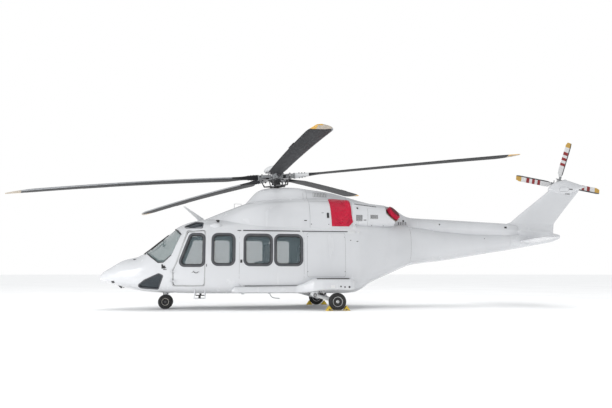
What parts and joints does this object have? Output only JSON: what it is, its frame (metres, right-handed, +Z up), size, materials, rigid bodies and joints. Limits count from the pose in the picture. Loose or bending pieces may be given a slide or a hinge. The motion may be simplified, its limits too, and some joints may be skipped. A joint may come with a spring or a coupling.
{
  "type": "helicopter",
  "caption": "Twin-engined utility helicopter on fixed wheeled landing gear, with a single main rotor, a tail rotor, hinged cockpit doors and sliding cabin doors.",
  "frame": {"origin": "on the ground in the plane of symmetry, straight below the nose leg and its jack pad", "axes": "+Z up, the nose towards -X, port side towards -Y, starboard side towards +Y"},
  "size_m": [17.0531, 12.6553, 5.1089],
  "materials": {
    "white_paint": "gloss",
    "tinted_glass": "polished",
    "blade_grey": "satin",
    "machined_steel": "machined",
    "tyre_rubber": "matte",
    "red_cover_cloth": "coated cloth",
    "seat_grey": "woven",
    "panel_black": "matte",
    "chock_yellow": "satin",
    "tail_blade_white": "gloss"
  },
  "bodies": {
    "airframe": {"nose_shell": "white_paint", "cabin_shell": "white_paint", "cabin_roof": "white_paint", "rear_fuselage": "white_paint", "tail_boom": "white_paint", "tail_fin": "white_paint", "stabiliser_left": "white_paint", "stabiliser_right": "white_paint", "cowl_front": "white_paint", "cowl_middle": "white_paint", "cowl_rear": "white_paint", "drive_shaft_cover": "white_paint", "sponson_left": "white_paint", "sponson_right": "white_paint", "windshield": "tinted_glass", "eyebrow_window_left": "tinted_glass", "eyebrow_window_right": "tinted_glass", "chin_window_left": "tinted_glass", "chin_window_right": "tinted_glass", "cabin_window_left": "tinted_glass", "cabin_window_right": "tinted_glass", "sliding_door_left": "white_paint", "sliding_door_right": "white_paint", "sliding_door_glass_left": "tinted_glass", "sliding_door_glass_right": "tinted_glass", "instrument_panel": "panel_black", "crew_seats": "seat_grey", "cabin_seats": "seat_grey", "powerplant": "machined_steel", "intake_cover_left": "red_cover_cloth", "intake_cover_right": "red_cover_cloth", "exhaust_cover_left": "red_cover_cloth", "exhaust_cover_right": "red_cover_cloth", "nose_leg": "white_paint", "main_leg_left": "white_paint", "main_leg_right": "white_paint", "roof_aerial": "white_paint", "wheel_chocks_left": "chock_yellow", "wheel_chocks_right": "chock_yellow"},
    "main_rotor": {"rotor_head": "machined_steel", "rotor_cap": "white_paint", "main_blade_1": "blade_grey", "main_blade_2": "blade_grey", "main_blade_3": "blade_grey", "main_blade_4": "blade_grey", "main_blade_5": "blade_grey"},
    "tail_rotor": {"tail_rotor_hub": "machined_steel", "tail_blade_1": "tail_blade_white", "tail_blade_2": "tail_blade_white", "tail_blade_3": "tail_blade_white", "tail_blade_4": "tail_blade_white"},
    "nose_steering": {"nose_fork": "machined_steel"},
    "nose_wheel_pair": {"nose_wheels": "tyre_rubber"},
    "main_wheel_left": {"main_wheel_left": "tyre_rubber"},
    "main_wheel_right": {"main_wheel_right": "tyre_rubber"},
    "cockpit_door_left": {"cockpit_door_left": "white_paint", "cockpit_door_glass_left": "tinted_glass"},
    "cockpit_door_right": {"cockpit_door_right": "white_paint", "cockpit_door_glass_right": "tinted_glass"}
  },
  "joints": [
    {"name": "main_rotor_turn", "type": "hinge", "parent": "airframe", "child": "main_rotor", "pos_m": [2.967, 0, 3.666], "axis": [-0.0967, 0, 0.9953], "continuous": true},
    {"name": "tail_rotor_turn", "type": "hinge", "parent": "airframe", "child": "tail_rotor", "pos_m": [11.99, 0.38, 3.735], "axis": [0, 1, 0], "continuous": true},
    {"name": "nose_steer", "type": "hinge", "parent": "airframe", "child": "nose_steering", "pos_m": [0, 0, 0.3], "axis": [0, 0, 1], "range_deg": [-60, 60]},
    {"name": "nose_wheel_roll", "type": "hinge", "parent": "nose_steering", "child": "nose_wheel_pair", "pos_m": [0, 0, 0.193], "axis": [0, 1, 0], "continuous": true},
    {"name": "main_wheel_left_roll", "type": "hinge", "parent": "airframe", "child": "main_wheel_left", "pos_m": [4.42, -1.515, 0.2285], "axis": [0, 1, 0], "continuous": true},
    {"name": "main_wheel_right_roll", "type": "hinge", "parent": "airframe", "child": "main_wheel_right", "pos_m": [4.42, 1.515, 0.2285], "axis": [0, 1, 0], "continuous": true},
    {"name": "cockpit_door_left_swing", "type": "hinge", "parent": "airframe", "child": "cockpit_door_left", "pos_m": [0.2, -1.078, 0.76], "axis": [0, 0, -1], "range_deg": [0, 75]},
    {"name": "cockpit_door_right_swing", "type": "hinge", "parent": "airframe", "child": "cockpit_door_right", "pos_m": [0.2, 1.078, 0.76], "axis": [0, 0, 1], "range_deg": [0, 75]}
  ],
  "couplings": [
    {"joint": "tail_rotor_turn", "follows": "main_rotor_turn", "ratio": 4.4}
  ]
}
